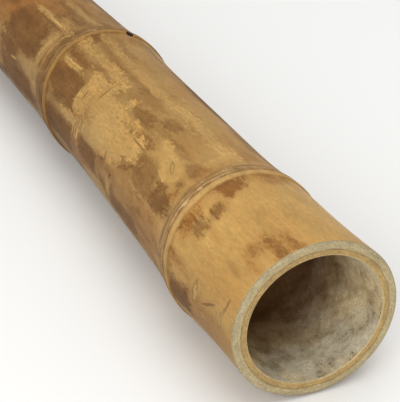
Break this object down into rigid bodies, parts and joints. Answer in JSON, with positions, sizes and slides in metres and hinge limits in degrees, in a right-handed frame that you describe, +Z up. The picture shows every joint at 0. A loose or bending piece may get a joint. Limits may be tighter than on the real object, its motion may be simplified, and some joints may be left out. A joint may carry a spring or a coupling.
{
  "type": "bamboo cane",
  "caption": "Hollow length of giant bamboo cane lying on its side, with raised nodes closed by cross walls, a thick woody wall and ends sawn square and open.",
  "frame": {"origin": "under the middle of the cane, on the surface that it lies on: the bottom centre of the bounding box", "axes": "+X runs along the cane towards the sawn end nearer its first node, +Z is up, +Y is across it"},
  "size_m": [1, 0.1104, 0.1009],
  "materials": {
    "bamboo": "smooth aged rind with a dull wax sheen, golden tan with brown weather stains; the sawn ends and the hollows are bare and matt"
  },
  "bodies": {
    "root": {"culm": "bamboo"}
  },
  "joints": []
}
